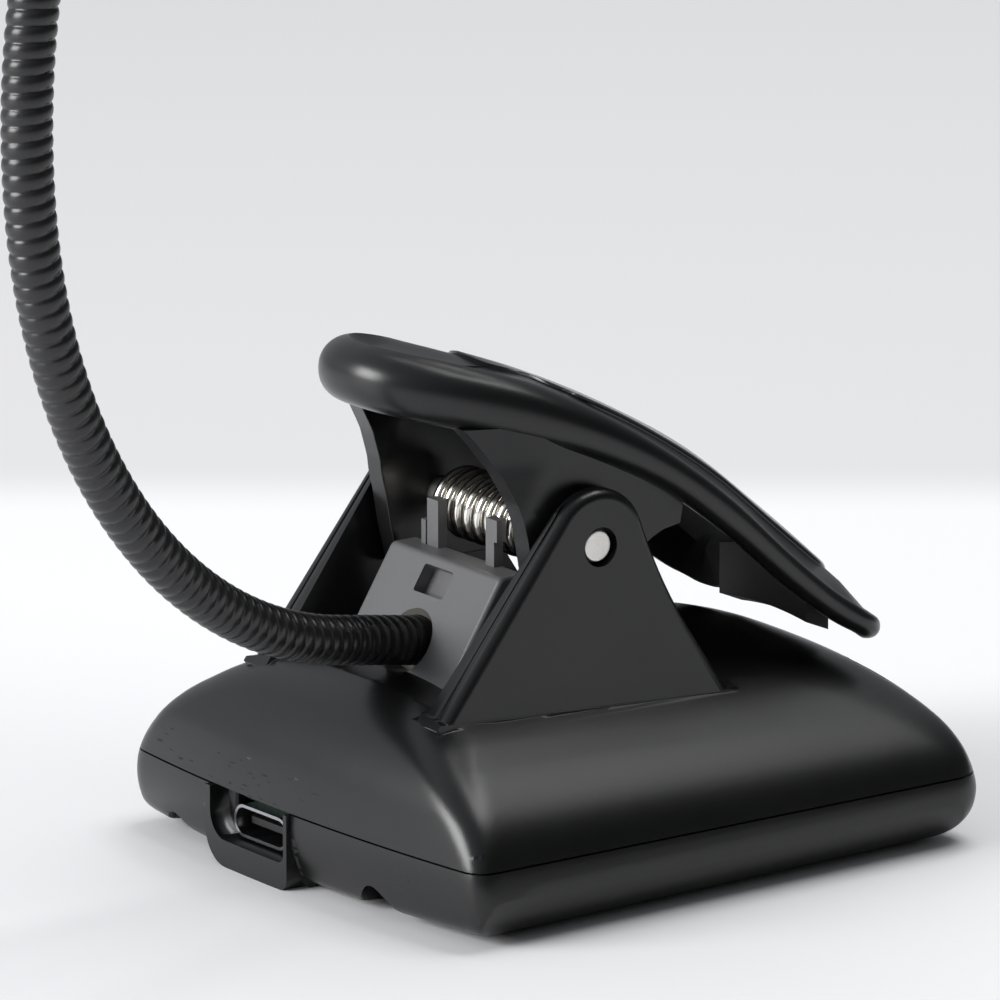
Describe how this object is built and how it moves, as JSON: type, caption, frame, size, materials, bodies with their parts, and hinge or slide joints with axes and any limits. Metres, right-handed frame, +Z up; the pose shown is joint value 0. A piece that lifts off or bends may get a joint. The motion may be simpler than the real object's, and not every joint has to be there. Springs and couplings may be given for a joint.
{
  "type": "clip-on music stand light",
  "caption": "Black clip-on reading light: spring clip with a thumb lever, charging port, ribbed gooseneck and a flat lamp head with two buttons.",
  "frame": {"origin": "middle of the clip's flat underside, which the light stands on", "axes": "+X towards the tip of the clip's jaw, +Y towards the side of the charging port, +Z up"},
  "size_m": [0.1257, 0.0846, 0.1544],
  "materials": {
    "casing_black": "satin moulded, fine texture",
    "lever_black": "satin moulded, fine texture",
    "panel_black": "smooth moulded",
    "block_grey": "satin moulded",
    "pad_rubber": "soft, matt",
    "neck_black": "black painted wire",
    "spring_steel": "nickel-plated wire",
    "pin_steel": "turned, bright",
    "ferrule_brass": "crimped",
    "screw_steel": "zinc plated",
    "port_steel": "drawn shell",
    "tongue_black": "moulded",
    "board_green": "solder mask",
    "parts_black": "moulded packages",
    "cell_foil": "laminated pouch",
    "tape_white": "foam tape",
    "lead_red": "insulated wire",
    "cable_black": "insulated cable",
    "head_black": "satin moulded",
    "collar_rubber": "soft, matt",
    "diffuser_white": "milky",
    "board_white": "white solder mask",
    "led_yellow": "phosphor",
    "switch_grey": "moulded",
    "button_grey": "satin moulded"
  },
  "bodies": {
    "clip": {"upper_casing": "casing_black", "lower_casing": "casing_black", "casing_screws": "screw_steel", "neck_block": "block_grey", "neck_block_screws": "screw_steel", "neck_ferrule": "ferrule_brass", "pivot_pin": "pin_steel", "torsion_spring": "spring_steel", "port_shell": "port_steel", "port_tongue": "tongue_black", "charge_board": "board_green", "charge_board_parts": "parts_black", "charge_board_screws": "screw_steel", "battery_cell": "cell_foil", "battery_tape": "tape_white", "battery_leads": "lead_red", "lamp_lead": "cable_black", "neck_length_1": "neck_black", "lamp_cable_1": "cable_black"},
    "lever": {"lever_shell": "lever_black", "lever_panel": "panel_black", "jaw_pad": "pad_rubber"},
    "neck_2": {"neck_length_2": "neck_black", "lamp_cable_2": "cable_black"},
    "neck_3": {"neck_length_3": "neck_black", "lamp_cable_3": "cable_black"},
    "neck_4": {"neck_length_4": "neck_black", "lamp_cable_4": "cable_black"},
    "neck_5": {"neck_length_5": "neck_black", "lamp_cable_5": "cable_black"},
    "neck_6": {"neck_length_6": "neck_black", "lamp_cable_6": "cable_black"},
    "neck_7": {"neck_length_7": "neck_black", "lamp_cable_7": "cable_black"},
    "neck_8": {"neck_length_8": "neck_black", "lamp_cable_8": "cable_black"},
    "lamp_head": {"neck_length_9": "neck_black", "lamp_cable_9": "cable_black", "head_collar": "collar_rubber", "head_cover": "head_black", "head_tray": "head_black", "head_diffuser": "diffuser_white", "led_board": "board_white", "leds": "led_yellow", "head_switches": "switch_grey", "head_screws": "screw_steel"},
    "power_button": {"power_button": "button_grey"},
    "level_button": {"level_button": "button_grey"}
  },
  "joints": [
    {"name": "lever_hinge", "type": "hinge", "parent": "clip", "child": "lever", "pos_m": [-0.0073, 0, 0.0334], "axis": [0, -1, 0], "range_deg": [0, 25], "stiffness_Nm_per_rad": 0.35, "springref_deg": -20.05, "deforming": ["torsion_spring"]},
    {"name": "neck_swing_1", "type": "hinge", "parent": "clip", "child": "neck_2", "pos_m": [-0.02646, -0.00243, 0.02437], "axis": [0.1999, 0.0573, 0.9781], "range_deg": [-7.5, 7.5]},
    {"name": "neck_bend_1", "type": "hinge", "parent": "neck_2", "child": "neck_3", "pos_m": [-0.0491, -0.00892, 0.03364], "axis": [0.2756, -0.9613, 0], "range_deg": [-7.5, 7.5]},
    {"name": "neck_bend_2", "type": "hinge", "parent": "neck_3", "child": "neck_4", "pos_m": [-0.06576, -0.01369, 0.05206], "axis": [0.2756, -0.9613, 0], "range_deg": [-7.5, 7.5]},
    {"name": "neck_swing_2", "type": "hinge", "parent": "neck_4", "child": "neck_5", "pos_m": [-0.07318, -0.01582, 0.07615], "axis": [0.9569, 0.2744, 0.095], "range_deg": [-7.5, 7.5]},
    {"name": "neck_bend_3", "type": "hinge", "parent": "neck_5", "child": "neck_6", "pos_m": [-0.07089, -0.01517, 0.10138], "axis": [0.2756, -0.9613, 0], "range_deg": [-7.5, 7.5]},
    {"name": "neck_bend_4", "type": "hinge", "parent": "neck_6", "child": "neck_7", "pos_m": [-0.05981, -0.01199, 0.12396], "axis": [0.2756, -0.9613, 0], "range_deg": [-7.5, 7.5]},
    {"name": "neck_swing_3", "type": "hinge", "parent": "neck_7", "child": "neck_8", "pos_m": [-0.04149, -0.00674, 0.14067], "axis": [0.4868, 0.1396, -0.8623], "range_deg": [-7.5, 7.5]},
    {"name": "neck_bend_5", "type": "hinge", "parent": "neck_8", "child": "lamp_head", "pos_m": [-0.01853, -0.00015, 0.14917], "axis": [0.2756, -0.9613, 0], "range_deg": [-7.5, 7.5]},
    {"name": "power_button_press", "type": "slide", "parent": "lamp_head", "child": "power_button", "axis": [-0.1026, -0.0294, -0.9943], "range_m": [0, 0.0008], "stiffness_N_per_m": 900, "springref_m": -0.0006},
    {"name": "level_button_press", "type": "slide", "parent": "lamp_head", "child": "level_button", "axis": [-0.1026, -0.0294, -0.9943], "range_m": [0, 0.0008], "stiffness_N_per_m": 900, "springref_m": -0.0006}
  ],
  "couplings": [
    {"joint": "neck_bend_2", "follows": "neck_bend_1", "ratio": 1},
    {"joint": "neck_swing_2", "follows": "neck_swing_1", "ratio": 1},
    {"joint": "neck_bend_3", "follows": "neck_bend_1", "ratio": 1},
    {"joint": "neck_bend_4", "follows": "neck_bend_1", "ratio": 1},
    {"joint": "neck_swing_3", "follows": "neck_swing_1", "ratio": 1},
    {"joint": "neck_bend_5", "follows": "neck_bend_1", "ratio": 1}
  ]
}
